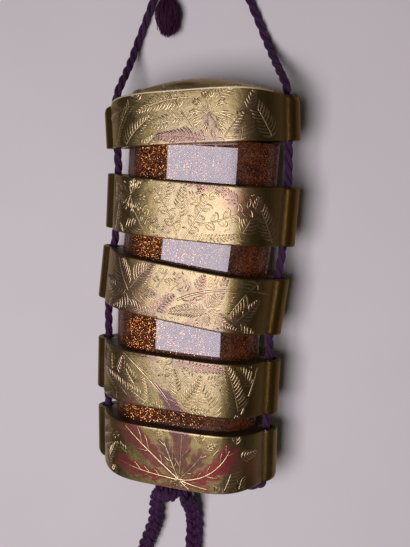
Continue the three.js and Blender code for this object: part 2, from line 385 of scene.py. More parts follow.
knot = silk_piece("cord_knot_silk", rope("cord_knot_silk", knot_line(), KNOT_CORD))
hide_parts("cord_knot")
tassel_mesh = strands("cord_tassel_silk", tassel_lines(), TASSEL_THREAD, facets=0)
tassel = silk_piece("cord_tassel_silk", tassel_mesh, TASSEL_SILK)
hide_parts("cord_tassel")

# ---- The plaited loop under the base ----
# The spare cord is worked into a chain plait, hitched to the cord where it crosses under the base. Its two
# legs drop to the surface and close in a loop.
CHAIN_DIAMETER = 5.6 * MM
PLAIT_PERIOD = 9.6 * MM
PLAIT_LIFT = 0.8 * MM  # how far a cord of the plait rises and dips
PLAIT_CORD = 2.4 * MM  # each of the three cords in the plait, pulled tight
PLAIT_PLY = PLAIT_CORD * 0.268
PLAIT_LAY = 5.6 * MM
HITCH_CORD = 2.9 * MM  # the same cord, slack, where it is wound round
HITCH_LAY = 9.0 * MM
HITCH_STEP = 0.35 * MM
HITCH_POINTS = 90
HITCH_TURN = (0.2, 2 * math.pi + 0.5)  # where each turn starts and ends
HITCH_BEND = 0.25 * MM  # how far a turn weaves about
# Each turn's lean in radians, its place across the knot as a share of the half width, and its size.
HITCH_TURNS = [(-0.55, -0.5, 0.87), (0.1, -0.05, 1), (0.65, 0.42, 0.9), (1.5, 0.0, 1), (-0.35, 1.12, 0.84)]

CHAIN_ROUTE = [
    (-9.4, -67.3, 7.3), (-10.7, -69.5, 5.4), (-11.8, -72.2, 3.8), (-12.3, -75.4, 2.85),
    (-12.4, -79.8, 2.82), (-13.6, -83.8, 2.82), (-15.0, -87.8, 2.82), (-16.4, -92.2, 2.82),
    (-17.6, -97.4, 2.82), (-17.4, -102.8, 2.82), (-14.9, -107.9, 2.82), (-10.6, -111.2, 2.82),
    (-5.6, -111.6, 2.82), (-0.6, -109.4, 2.82), (2.7, -105.0, 2.82), (3.6, -99.4, 2.82),
    (2.6, -93.6, 2.82), (1.4, -88.6, 2.82), (1.0, -84.4, 2.82), (1.1, -80.4, 2.82),
    (0.9, -76.4, 2.85), (0.6, -72.8, 3.7), (0.1, -69.7, 5.4), (-0.5, -67.2, 7.5),
]


def plait_lines(route):
    """The centre lines of every ply of three cords plaited along a route."""
    side, up = sides_along(route)
    run = run_along(route)
    lines = []
    for k in range(3):
        phase = 2 * math.pi * (run / PLAIT_PERIOD + k / 3)
        across = (CHAIN_DIAMETER - PLAIT_CORD) / 2 * np.sin(phase)
        lift = PLAIT_LIFT * np.sin(2 * phase)
        cord = evenly(route + across[:, None] * side + lift[:, None] * up, STEP)
        lines += plies_round(cord, PLAIT_CORD, PLAIT_PLY, PLAIT_LAY)
    return lines


def hitch_lines():
    """Turns of cord wound slantwise over the place where the plait's two legs meet under the base."""
    low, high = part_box("loop_knot")
    middle, half = (low + high) / 2, (high - low) / 2
    turn = np.linspace(*HITCH_TURN, HITCH_POINTS)
    lines = []
    for lean, shift, size in HITCH_TURNS:
        across = np.cos(turn) * (half.y - HITCH_CORD / 2) * size
        rise = np.sin(turn) * (half.z - HITCH_CORD / 2) * size
        x = middle.x + shift * half.x + across * math.sin(lean)
        y = middle.y + across * math.cos(lean) + HITCH_BEND * np.cos(2 * turn)
        line = evenly(np.stack([x, y, middle.z + rise], 1), HITCH_STEP)
        lines += plies_round(line, HITCH_CORD, HITCH_CORD * PLY_SHARE, HITCH_LAY)
    return lines


chain_route = route_through(CHAIN_ROUTE, STEP / MM) * MM
chain_mesh = strands("chain_loop_silk", plait_lines(chain_route), PLAIT_PLY, facets=1)
chain = silk_piece("chain_loop_silk", chain_mesh)
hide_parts("chain_loop")
hitch_mesh = strands("loop_hitch_silk", hitch_lines(), HITCH_CORD * PLY_SHARE, facets=1)
hitch = silk_piece("loop_hitch_silk", hitch_mesh)
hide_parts("loop_knot")


# ---- Gold lacquer, sprinkled lacquer and raised gold ----
# Gold dust in clear lacquer, polished: mottled where it has rubbed thin, with leaves in red and plum. It is
# painted darker and browner towards the ends and on the lid's domed top, partly browning and partly painted
# shade, and the plum also lays painted shade round some fronds. The piece's own attribute says where it is
# red or plum, how far it is browned and shaded, and where a painted highlight lies.
GOLD_DARK, GOLD_LIGHT = rgb(0.196, 0.148, 0.051), rgb(0.277, 0.215, 0.085)
GOLD_STAIN = rgb(0.15, 0.095, 0.03)
GOLD_DUST = rgb(0.52, 0.41, 0.20)
GOLD_BROWN_SHADE = rgb(0.085, 0.044, 0.008)
GOLD_HIGHLIGHT = rgb(0.80, 0.68, 0.40)
# The red and plum of the leaves; the plum also serves as painted shade round some fronds.
LEAF_RED, PLUM_LEAF_AND_SHADE = rgb(0.25, 0.018, 0.028), rgb(0.11, 0.038, 0.045)


def painted_parts(place):
    """How red and plum the place is, how far it is browned and painted in shade, and how much painted
    highlight it has.
    """
    tint = place.node("ShaderNodeAttribute", {"attribute_name": "tint"}).out("Color")
    parts = tint.node("ShaderNodeSeparateColor", None, {0: tint})
    return parts, parts.out("Green"), parts.out("Blue"), tint.out("Alpha")


def gold_lacquer():
    made, place = material("gold_lacquer")
    red, plum, brown_and_shade, painted_highlight = painted_parts(place)
    cloud = place.noise(85.0, 4.0, 0.6)
    blotch = place.noise(420.0, 3.0, 0.55)
    dust = place.noise(3600.0, 2.0, 0.7)
    colour = cloud.fade(0.32, 0.68).blend(GOLD_DARK, GOLD_LIGHT)
    colour = (blotch.fade(0.5, 0.72) * 0.6).blend(colour, GOLD_STAIN)
    colour = (dust.fade(0.5, 0.85) * 0.5).blend(colour, GOLD_DUST)
    # Darker and browner towards the ends and on the domed top: partly browning, partly painted shade.
    colour = brown_and_shade.blend(colour, GOLD_BROWN_SHADE)
    thick = 0.72 + blotch * 0.45
    colour = (red * thick).blend(colour, LEAF_RED)
    colour = (plum * thick).blend(colour, PLUM_LEAF_AND_SHADE)
    # Painted highlight: a thin bright line down the front's left end.
    colour = painted_highlight.blend(colour, GOLD_HIGHLIGHT)
    metal = 0.95 - red * 0.5 - plum * 0.45 - brown_and_shade * 0.15 - painted_highlight * 0.4
    rough = 0.31 + (cloud - 0.5) * 0.16 + dust * 0.08
    normal = (dust * 0.35 + blotch).bump(0.00018, 0.55)
    finish(
        place, Base_Color=colour, Metallic=metal, Roughness=rough, Normal=normal,
        Specular_Tint=rgb(0.95, 0.72, 0.36), Coat_Weight=0.8 - brown_and_shade * 0.8, Coat_Roughness=0.16,
        Coat_IOR=1.5,
    )
    return made


# Sprinkled lacquer: flakes of orange gold at every depth of an amber-brown lacquer, polished to a deep gloss
# that has dulled towards the two ends.
FLAKE_SCALES = (5000.0, 8000.0)  # large and small flakes, to the metre
GROUND_DARK, GROUND_LIGHT = rgb(0.016, 0.002, 0.001), rgb(0.060, 0.010, 0.005)
FLAKE_RED, FLAKE_YELLOW = rgb(0.95, 0.15, 0.03), rgb(1.0, 0.58, 0.13)
SMALL_FLAKE = rgb(0.60, 0.19, 0.04)
FLAKE_TILT = 0.9
GLOSS_END = (0.011, 0.019)  # the gloss fades between these distances from the middle


def sprinkled_lacquer():
    made, place = material("sprinkled_lacquer")
    large, small = (
        place.node("ShaderNodeTexVoronoi", {"feature": "F1"}, {"Vector": place, "Scale": scale})
        for scale in FLAKE_SCALES
    )
    chance = place.node("ShaderNodeSeparateColor", None, {0: large.out("Color")})
    luck, shine, hue = chance, chance.out("Green"), chance.out("Blue")
    small_luck = place.node("ShaderNodeSeparateColor", None, {0: small.out("Color")})
    crowd = place.noise(240.0, 2.0)
    big = luck.above(0.71) * (1.0 - large.out("Distance").fade(0.45, 0.62))
    fine = small_luck.above(0.55) * (1.0 - small.out("Distance").fade(0.35, 0.6)) * crowd.fade(0.3, 0.6)
    colour = crowd.blend(GROUND_DARK, GROUND_LIGHT)
    colour = (big * (0.2 + shine * 0.8)).blend(colour, hue.blend(FLAKE_RED, FLAKE_YELLOW))
    colour = (fine * 0.5).blend(colour, SMALL_FLAKE)
    tilt = large.out("Color").vector("SUBTRACT", (0.5, 0.5, 0.5)).vector("SCALE", Scale=FLAKE_TILT)
    normal = place.node("ShaderNodeNewGeometry").out("Normal").vector("ADD", tilt).vector("NORMALIZE")
    across = place.node("ShaderNodeSeparateXYZ", None, {0: place})
    finish(
        place, Base_Color=colour, Metallic=big * 0.9, Roughness=0.3, Normal=normal, Specular_IOR_Level=0.15,
        Coat_Weight=1.0 - abs(across).fade(*GLOSS_END) * 0.75, Coat_Roughness=0.03, Coat_IOR=1.7,
    )
    return made


# Dull matte gold, almost brown, on ledges, rims and inside the channels; its darkness is partly painted
# shade.
def dull_shaded_gold():
    made, place = material("dull_shaded_gold")
    colour = place.noise(300.0, 3.0).blend(rgb(0.055, 0.038, 0.014), rgb(0.14, 0.10, 0.04))
    normal = place.noise(6000.0, 2.0).bump(0.00005, 0.4)
    finish(place, Base_Color=colour, Metallic=0.75, Roughness=0.5, Normal=normal)
    return made


# The built-up work: a gold paler than the ground's, the paleness a painted highlight that the raised lines
# catch, and gold mixed with red for the rose-coloured sprays.
def raised_gold(name, pale, deep):
    made, place = material(name)
    _, plum, brown_and_shade, painted_highlight = painted_parts(place)
    colour = place.noise(700.0, 2.0).fade(0.35, 0.65).blend(deep, pale)
    # The raised lines darken with the ground's browning and painted shade.
    colour = (brown_and_shade * 0.9).blend(colour, rgb(0.17, 0.10, 0.03))
    # Where plum is laid, the raised lines turn lilac brown: painted shade among the shaded fronds, and the
    # leaf's own colour on the plum leaf.
    colour = (plum * 0.6).blend(colour, rgb(0.27, 0.15, 0.18))
    # Painted highlight: the bead along the lid's brim, and the left end's bright line.
    colour = painted_highlight.blend(colour, rgb(0.90, 0.76, 0.44))
    normal = place.noise(7000.0, 2.0).bump(0.00004, 0.3)
    finish(
        place, Base_Color=colour, Metallic=0.9 - painted_highlight * 0.8, Roughness=0.3, Normal=normal,
        Coat_Weight=0.4, Coat_Roughness=0.1,
    )
    return made


GOLD_FACE, SPRINKLED, DULL_SHADED_GOLD, RAISED_GOLD, ROSE_GOLD = range(5)  # places in the list of finishes
FINISHES = [
    gold_lacquer(),
    sprinkled_lacquer(),
    dull_shaded_gold(),
    raised_gold("raised_gold", pale=rgb(0.62, 0.49, 0.25), deep=rgb(0.40, 0.30, 0.13)),
    raised_gold("rose_gold", pale=rgb(0.58, 0.35, 0.24), deep=rgb(0.38, 0.19, 0.13)),
]


# ---- The sections: lid, three trays and base ----
# Thin wood, cut to a lens with a half-round cord runner at each end, built up with lacquer and dusted with
# gold. Every tray has a riser, sprinkled with orange-gold flakes, that the section above slides over.
# Sizes are in millimetres. A section's own frame has u across it, v up the case and w out of its front.
HALF_DEPTH = 12.36
BODY_HALF_WIDTH = 26.2
FULLNESS, SHOULDER = 4.5, 0.75  # the powers that give the lens its flat faces and round ends
RUNNER_OFFSET = 25.35
RUNNER_RADIUS = 3.15
RUNNER_MEETS = (0.12, 1.1)  # the runner stops this angle short of square, and the body starts this far in
CHANNEL_RADIUS = 1.75
FLAT_SPOT = 0.15  # worn off the back, where the case rests
LID_HEIGHT = 13.58
TRAY_HEIGHT = 15.77
BASE_HEIGHT = 17.46
END_DROP = 2.69  # how far the domed ends of the case fall away at each side
CORNER_DROP = 1.0  # and how much further the edge of their walls does
LID_DOME = 4.3
BASE_DOME = 2.5
DOME_HALF_WIDTH = 26.5
DOME_END = 28.0  # where the drawing takes the dome to come down to the brim at its ends
DOME_FULLNESS = 0.8
DOME_SCALES = [0.988, 0.965, 0.94, 0.9, 0.85, 0.8, 0.74, 0.68, 0.6, 0.52, 0.44, 0.35, 0.26, 0.17, 0.08, 0.02]
RISER_HEIGHT = 11.4
RISER_HALF_WIDTH = 22.1
RISER_HALF_DEPTH = 9.2
RISER_WALL = 1.2
RISER_RIM = [  # inset, how far below the top, and finish of the band before it
    (0.0, 0.3, SPRINKLED), (0.09, 0.08, SPRINKLED), (0.3, 0.0, SPRINKLED),
    (RISER_WALL - 0.2, 0.0, DULL_SHADED_GOLD), (RISER_WALL, 0.2, SPRINKLED),
]
PLAY, END_PLAY = 0.5, 0.85  # between a riser and its socket, on its faces and at its ends
SOCKET_DEPTH = 11.8
SOCKET_MOUTH, MOUTH_FLARE = 0.15, 1.008  # height and spread of the chamfer at the socket's mouth
FLOOR = 1.4
LID_VAULT = 2.9
VAULT_SCALES = (0.02, 0.3, 0.6, 0.85)
BASE_FLOOR = 2.9
ARC_STEPS, RUNNER_STEPS = 240, 60  # points of a quarter and of its runner, before they are spaced evenly
QUARTER_STEPS = 104  # points along each quarter of a section's outline
ROW_STEP = 0.32  # height of a row of faces on a painted wall
PLAIN_STEP = 2.0  # the same on a riser
EDGE_ROUND = 0.32  # rounding of the edges where lacquer wears thin
ROUNDED = [(0.0, 1.0), (0.3, 0.3), (1.0, 0.0)]  # a rounded edge: distance from the edge and inset, as shares
CREASE_ANGLE = 38  # degrees, past which an edge is sharp
DRILL_LENGTH, DRILL_MIDDLE = 60, 12  # long enough to pass right through any section
DRILL_SIDES = 40

# Each section's height, where the middle of its lower edge lies, and its turn on the surface in degrees.
SECTIONS = {
    "lid": (LID_HEIGHT, 0.59, 42.47, 4.53),
    "case_1": (TRAY_HEIGHT, 0.9, 16.9, -1.28),
    "case_2": (TRAY_HEIGHT, -1.27, -6.19, -5.22),
    "case_3": (TRAY_HEIGHT, -0.87, -31.99, 0.14),
    "case_4": (BASE_HEIGHT, 0.03, -54.95, 1.82),
}


def set_down(node):
    """The matrix that carries a section's own frame, in millimetres, to its place on the surface."""
    _, x, y, turn = SECTIONS[node]
    shift = Matrix.Translation((x * MM, y * MM, (HALF_DEPTH - FLAT_SPOT) * MM))
    return shift @ Matrix.Rotation(math.radians(turn), 4, "Z") @ Matrix.Scale(MM, 4)


def lens(u, half_width, half_depth):
    return half_depth * max(0.0, 1 - abs(u / half_width) ** FULLNESS) ** SHOULDER


def full_round(quarter):
    """A whole outline from its first quarter, anticlockwise from the right-hand end, evenly stepped."""
    quarter = spread(np.array(quarter), QUARTER_STEPS + 1)
    flip = quarter[::-1]
    quarters = [quarter, flip * (-1, 1), quarter * (-1, -1), flip * (1, -1)]
    return np.vstack([q[:-1] for q in quarters])


def sleeve(width, depth):
    """The outline of a riser, a socket or a cavity, from its half width and half depth."""
    across = width * np.cos(np.linspace(0, math.pi / 2, ARC_STEPS))
    return full_round([(u, lens(u, width, depth)) for u in across])


def riser(inset=0.0):
    return sleeve(RISER_HALF_WIDTH - inset, RISER_HALF_DEPTH - inset)


def shell(inset=0.0):
    """The outline of a painted section with its cord runners."""
    angle, body_start = RUNNER_MEETS
    runner = RUNNER_RADIUS - inset
    turns = np.linspace(0, math.pi / 2 - angle, RUNNER_STEPS)
    quarter = [(RUNNER_OFFSET + runner * math.cos(a), runner * math.sin(a)) for a in turns]
    across = (BODY_HALF_WIDTH - body_start) * np.cos(np.linspace(0, math.pi / 2, ARC_STEPS)[2:])
    quarter += [(u, lens(u, BODY_HALF_WIDTH - inset, HALF_DEPTH - inset)) for u in across]
    return full_round(quarter)


SHELL = shell()
SOCKET = sleeve(RISER_HALF_WIDTH + END_PLAY, RISER_HALF_DEPTH + PLAY)


def end_drop(u):
    return END_DROP * (u / (RUNNER_OFFSET + RUNNER_RADIUS)) ** 4


def brim_drop(u):
    """How far the wall's edge by a domed end falls away from the middle."""
    return end_drop(u) + CORNER_DROP * (u / (RUNNER_OFFSET + RUNNER_RADIUS)) ** 8


def domed(u, scale):
    """The dome's height at a scale of the outline, as a share of its rise."""
    return (1 - (u / DOME_HALF_WIDTH) ** 2) * (1 - scale**2) ** DOME_FULLNESS


def skin(name, rings):
    """A closed skin through rings of points. A ring has its outline, its height and the finish before it."""
    bm = bmesh.new()

    def shape_ring(verts, outline, height):
        for vert, (u, w) in zip(verts, outline):
            vert.co = (u, height(u) if callable(height) else height, max(w, FLAT_SPOT - HALF_DEPTH))

    loop = bmesh.ops.create_circle(bm, cap_ends=True, segments=len(SHELL), radius=1)["verts"]
    shape_ring(loop, *rings[0][:2])
    for face in bm.faces:
        face.material_index = rings[0][2]
    edges = list(bm.edges)
    for outline, height, band in rings[1:]:
        made = bmesh.ops.extrude_edge_only(bm, edges=edges)["geom"]
        new = {g for g in made if isinstance(g, bmesh.types.BMVert)}
        edges = [g for g in made if isinstance(g, bmesh.types.BMEdge) and all(v in new for v in g.verts)]
        loop = [next(e.other_vert(v) for e in v.link_edges if e.other_vert(v) in new) for v in loop]
        shape_ring(loop, outline, height)
        for face in (g for g in made if isinstance(g, bmesh.types.BMFace)):
            face.material_index = band
    for face in bmesh.ops.contextual_create(bm, geom=edges)["faces"]:
        face.material_index = rings[-1][2]
    bmesh.ops.recalc_face_normals(bm, faces=bm.faces)
    for face in bm.faces:
        face.smooth = len(face.verts) == 4
    for edge in bm.edges:
        edge.smooth = edge.calc_face_angle(0.0) < math.radians(CREASE_ANGLE)
    mesh = bpy.data.meshes.new(name)
    bm.to_mesh(mesh)
    bm.free()
    return mesh


def wall(outline, low, high, band, step=ROW_STEP):
    """Rows of a wall between two heights, each a number or a function of u."""
    low_at = low if callable(low) else (lambda u: low)
    high_at = high if callable(high) else (lambda u: high)
    rows = max(1, round((high_at(0.0) - low_at(0.0)) / step))
    shares = [k / rows for k in range(1, rows + 1)]
    return [(outline, lambda u, t=share: low_at(u) * (1 - t) + high_at(u) * t, band) for share in shares]


def mouth():
    """From the socket wall, across the lower rim and round its outer edge."""
    rings = [(SOCKET, SOCKET_MOUTH, SPRINKLED), (SOCKET * MOUTH_FLARE, 0.0, DULL_SHADED_GOLD)]
    return rings + [(shell(EDGE_ROUND * inset), EDGE_ROUND * up, GOLD_FACE) for up, inset in ROUNDED]


def upper_part(low, ledge, floor):
    """Up the painted wall, over its rounded edge and the ledge, up the riser and down to the floor."""
    top = ledge + RISER_HEIGHT
    rounded = [(shell(EDGE_ROUND * inset), ledge - EDGE_ROUND * down) for down, inset in ROUNDED[1::-1]]
    return [
        *wall(SHELL, low, ledge - EDGE_ROUND, GOLD_FACE),
        *[(outline, height, GOLD_FACE) for outline, height in rounded],
        (riser(), ledge, DULL_SHADED_GOLD),
        *wall(riser(), ledge, top - RISER_RIM[0][1], SPRINKLED, PLAIN_STEP),
        *[(riser(inset), top - down, band) for inset, down, band in RISER_RIM[1:]],
        (riser(RISER_WALL), floor, SPRINKLED),
    ]


def dome(edge, rise, scales):
    """Rings of a swelling end, from its edge inwards."""
    drop = math.copysign(1, rise)

    def height(scale):
        return lambda u: edge - drop * end_drop(u) + rise * domed(u, scale)

    return [(SHELL * scale, height(scale), GOLD_FACE) for scale in scales]


def vault(scale):
    """The hollow under the lid, above its socket."""
    return lambda u: SOCKET_DEPTH + LID_VAULT * (1 - (u / RISER_HALF_WIDTH) ** 2) * (1 - scale**2)


TRAY_RINGS = [
    (SOCKET, SOCKET_DEPTH, SPRINKLED),
    *mouth(),
    *upper_part(EDGE_ROUND, TRAY_HEIGHT, SOCKET_DEPTH + FLOOR),
]
LID_RINGS = [
    *[(SOCKET * scale, vault(scale), SPRINKLED) for scale in VAULT_SCALES],
    (SOCKET, SOCKET_DEPTH, SPRINKLED),
    *mouth(),
    *wall(SHELL, EDGE_ROUND, lambda u: LID_HEIGHT - brim_drop(u), GOLD_FACE),
    *dome(LID_HEIGHT, LID_DOME, DOME_SCALES),
]
BASE_RINGS = [
    *dome(0.0, -BASE_DOME, DOME_SCALES[::-1]),
    (SHELL, brim_drop, GOLD_FACE),
    *upper_part(brim_drop, BASE_HEIGHT, BASE_FLOOR),
]


def drill(mesh):
    """Cut the two cord channels through a section."""
    body = stand("body", mesh)
    bm = bmesh.new()
    for side in (-1, 1):
        shift = Matrix.Translation((side * RUNNER_OFFSET, DRILL_MIDDLE, 0))
        bmesh.ops.create_cone(
            bm, cap_ends=True, segments=DRILL_SIDES, radius1=CHANNEL_RADIUS, radius2=CHANNEL_RADIUS,
            depth=DRILL_LENGTH, matrix=shift @ Matrix.Rotation(math.pi / 2, 4, "X"),
        )
    for face in bm.faces:
        face.material_index = DULL_SHADED_GOLD
        face.smooth = len(face.verts) == 4
    drills = stand("drills", bpy.data.meshes.new("drills"))
    bm.to_mesh(drills.data)
    bm.free()
    for one in FINISHES:
        mesh.materials.append(one)
        drills.data.materials.append(one)
    cut = body.modifiers.new("cut", "BOOLEAN")
    cut.operation, cut.object, cut.solver = "DIFFERENCE", drills, "EXACT"
    made = bpy.data.meshes.new_from_object(body.evaluated_get(bpy.context.evaluated_depsgraph_get()))
    bpy.data.objects.remove(body)
    bpy.data.objects.remove(drills)
    return made


# ---- The decoration on the gold ----
# Ferns, trailing vines and one large leaf, drawn across the closed case and cut where the sections part. The
# stems, leaflets and buds are built up in raised gold; the red and plum of the leaves is only colour.
CLOSED_AT = {}  # how high each section's lower edge lies in the closed case
case_height = 0.0
for node in reversed(SECTIONS):
    CLOSED_AT[node] = case_height
    case_height += SECTIONS[node][0]
EDGE_MARGIN = 0.3  # bare strip along a section's edge, where the relief stops
OVER_DOME = 11  # how far the drawing runs on over the lid's domed top
RELIEF_END = 25.0  # the relief stops before the cord runners
RELIEF_SPREAD = 1.65  # a raised line is a round strand, this much thicker than drawn
RELIEF_SINK = 0.52  # and sunk by this share of its radius, so that it swells softly
SHOULDER_WORK = 0.5  # how much of its thickness a line keeps on the lid's domed top
BRIM_BEAD = 0.22  # a fine raised line along the front of the lid, where its wall meets the domed top, painted bright as a highlight
BRIM_LIFT = 0.14
BRIM_END = 23.0
# How thick the lines of each plant are drawn.
FROND_RIB, LEAFLET, BURST_RIB, BUD_LINE = 0.18, 0.2, 0.2, 0.15
VINE_STEM, HOOK, SPRIG_STEM, STALK, SEED = 0.2, 0.22, 0.14, 0.11, 0.2
ROLLED_STEM, VEIN, SIDE_VEIN = 0.15, 0.27, 0.17
VINE_STEP = 0.35  # distance between the points of a vine's stem
LOBE_EDGE = 0.2  # softness of a painted edge
LOBE_FULLNESS = 1.18  # how much wider a lobe is drawn than its plain width
LOBE_BROADEST = 0.68  # how far along a lobe its points reach furthest
CELL = 0.25  # the grid on which plants cover one another

draw = random.Random(41)
raised = []  # (points of (along, height, radius), "gold" or "rose")
washes = []  # (points of (along, height, half width), softness, red, plum)
taken, fresh = set(), set()  # cells filled by earlier plants, and by the one being drawn


def cell(along, height):
    return round(along / CELL), round(height / CELL)


def bent(start, heading, length, bend, step=0.5):
    """Points (along, height, heading) of a stem that bends evenly; angles in degrees."""
    count = max(2, round(length / step))
    along, height = start
    points = [(along, height, heading)]
    for k in range(count):
        along, height = beyond((along, height), heading + bend * (k + 0.5) / count, length / count)
        points.append((along, height, heading + bend * (k + 1) / count))
    return points


def beyond(point, heading, distance):
    """The point at a distance from another, along a heading."""
    way = math.radians(heading)
    return point[0] + math.cos(way) * distance, point[1] + math.sin(way) * distance


def cover(points, reach):
    """Note the cells of the drawing within reach of some points as filled by the plant being drawn."""
    near = range(-math.ceil(reach / CELL), math.ceil(reach / CELL) + 1)
    for point in points:
        column, row = cell(*point[:2])
        fresh.update((column + i, row + j) for i in near for j in near)


def settle():
    """Finish a plant: what is drawn later passes underneath it."""
    taken.update(fresh)
    fresh.clear()


def stroke(points, thickness, shape, tone="gold", rooted=False):
    """A raised line whose thickness follows the given shape, hidden under earlier plants. A rooted line is
    left out when its start is hidden, and ends where it first goes under."""
    at = np.linspace(0, len(shape) - 1, len(points))
    widths = np.interp(at, range(len(shape)), shape) * thickness
    seen = [cell(*point[:2]) not in taken for point in points]
    if rooted:
        if not (seen[0] and seen[1]):
            return
        seen = [all(seen[:k + 1]) for k in range(len(seen))]
    line = []
    for point, width, free in zip(points, widths, seen):
        if free:
            line.append((point[0], point[1], width))
        if not free or point is points[-1]:
            if len(line) > 2 or len(line) == len(points):
                raised.append((line, tone))
            line = []
    cover([point for point, free in zip(points, seen) if free], CELL)


def dot(along, height, size, tone="gold"):
    stroke([(along + size * k / 2, height) for k in (-1, 0, 1)], size, (0.7, 1.0, 0.7), tone)


def leaflet(start, heading, length, curl, tone="gold"):
    stroke(bent(start, heading, length, curl, length / 4), LEAFLET, (0.4, 0.85, 1.0, 0.9, 0.35), tone, True)


def wash(points, half_widths, soft, red=0.0, plum=0.0):
    """Colour laid along a line, under the raised work."""
    widths = np.interp(np.linspace(0, 1, len(points)), np.linspace(0, 1, len(half_widths)), half_widths)
    washes.append((np.array([(p[0], p[1], width) for p, width in zip(points, widths)]), soft, red, plum))


def leaflet_length(share):
    """How long a frond's leaflets are, from its root to its tip: soon at their longest, then shorter."""
    return 1.4 * min(1.0, 0.55 + share * 2.6) * (1.03 - share) ** 0.45


def frond(
    start, heading, length, bend, reach=3.0, gap=0.98, lean=78, curl=34, tone="gold", shade=0.0, seeds=False,
):
    """A fern frond: a stem with curved leaflets set like a comb."""
    settle()
    rib = bent(start, heading, length, bend, gap)
    stroke(rib, FROND_RIB, (1.0, 0.8, 0.5), tone)
    for k, (along, height, way) in enumerate(rib[1:], 1):
        share = k / (len(rib) - 1)
        size = reach * leaflet_length(share) * draw.uniform(0.94, 1.05)
        for side in (-1, 1):
            turn = way + side * (lean - 30 * share) + draw.uniform(-3, 3)
            leaflet((along, height), turn, max(size, 0.7), -side * curl, tone)
            if seeds and k % 2:
                dot(*beyond((along, height), turn - side * curl * 0.5, size + 0.5), SEED, tone)
    # Painted shade: plum laid on the ground under the leaflets.
    if shade:
        wash(rib, (reach * 0.55, reach * 0.8, reach * 0.3), reach * 0.6, plum=shade)


def burst(centre, rays, length, first=0.0, sweep=360.0, seeds=True, tone="gold"):
    """Short forked sprays round a centre, as a fern is seen from its tip."""
    settle()
    for k in range(rays):
        heading = first + sweep * (k + draw.uniform(-0.2, 0.2)) / rays
        reach = length * draw.uniform(0.75, 1.1)
        turn = draw.uniform(-30, 30)
        rib = bent(centre, heading, reach, turn, 0.4)
        stroke(rib, BURST_RIB, (0.3, 0.7, 1.0, 0.6), tone)
        for share in (0.45, 0.72):
            along, height, way = rib[round(share * (len(rib) - 1))]
            for side in (-1, 1):
                leaflet((along, height), way + side * 34, reach * (0.58 - 0.36 * share), -side * 26, tone)
        if seeds:
            dot(*beyond(centre, heading + turn, reach + 0.7), SEED * 1.05)


def bud(start, heading, size):
    """A teardrop bud: two curved outlines."""
    for side in (-1, 1):
        outline = bent(start, heading + side * 40, size * 1.15, -side * 88, size * 1.15 / 6)
        stroke(outline, BUD_LINE, (0.7, 1.0, 1.0, 0.8), rooted=True)


def vine(start, heading, length, bend, gap=1.9, size=2.3):
    """A trailing stem with teardrop buds and hooked leaves on either side by turns."""
    settle()
    stem = bent(start, heading, length, bend, VINE_STEP)
    stroke(stem, VINE_STEM, (0.9, 1.0, 0.8, 0.5))
    every = max(1, round(gap / VINE_STEP))
    for n, (along, height, way) in enumerate(stem[every::every]):
        side = 1 if n % 2 else -1
        grown = size * draw.uniform(0.85, 1.1)
        bud(beyond((along, height), way + side * 55, 0.35), way + side * 46, grown)
        hook = bent((along, height), way - side * 30, grown * 1.2, -side * 110, 0.3)
        stroke(hook, HOOK, (0.5, 0.6, 0.9, 1.1, 0.6), rooted=True)


def sprig(start, heading, length, bend, reach=1.3):
    """A thin stem with seeds on short stalks."""
    settle()
    stem = bent(start, heading, length, bend, 0.45)
    stroke(stem, SPRIG_STEM, (0.9, 0.8, 0.5))
    for along, height, way in stem[2::2]:
        for side in (-1, 1):
            tip = beyond((along, height), way + side * 46, reach * draw.uniform(0.8, 1.15))
            stroke([(along, height), tip], STALK, (0.7, 1.0))
            dot(*tip, SEED)


def blade(start, heading, length, bend, thickness=0.21):
    """One long leaf of grass or a bare stem."""
    settle()
    stroke(bent(start, heading, length, bend, 0.6), thickness, (0.8, 1.0, 1.0, 0.8, 0.5, 0.25))


def rolled(start, heading, size, side):
    """An unopened frond, rolled up at its tip."""
    settle()
    stem = bent(start, heading, size * 1.6, side * 20, 0.3)
    roll = bent(stem[-1][:2], stem[-1][2], size * 2.0, side * 330, 0.2)
    stroke(stem + roll[1:], ROLLED_STEM, (0.8, 1.0, 0.9, 0.7))
    dot(*np.mean([p[:2] for p in roll[len(roll) // 2:]], axis=0), SEED * 1.2)


def lobe(start, heading, length, bend, width, red, plum, teeth):
    """A lobe of the large leaf: its colour, cut into points along the edges, and its raised veins."""
    width *= LOBE_FULLNESS
    vein = bent(start, heading, length, bend, 0.35)
    swell = np.sin(np.linspace(0, 1, len(vein)) ** 1.9 * math.pi) ** 0.8
    wash(vein, width * (0.10 + 0.36 * swell), LOBE_EDGE, red, plum)
    stroke(vein, VEIN, (1.0, 0.9, 0.7, 0.4))
    for k in range(teeth):
        at = 0.3 + 0.6 * k / (teeth - 1)
        along, height, way = vein[round(at * (len(vein) - 1))]
        for side in (-1, 1):
            reach = width * (1.45 - 1.6 * abs(at - LOBE_BROADEST)) * draw.uniform(0.85, 1.15)
            point = bent((along, height), way + side * (52 - 14 * at), reach, -side * 20, 0.25)
            tint = draw.uniform(0.8, 1.0)
            wash(point, (width * 0.26, width * 0.3, width * 0.26, 0.1), LOBE_EDGE, red * tint, plum * tint)
            if draw.random() < 0.6:
                stroke(point[1:-2], SIDE_VEIN, (0.7, 0.8, 0.3))
            cover(point, width * 0.2)
    cover(vein, width * 0.3)


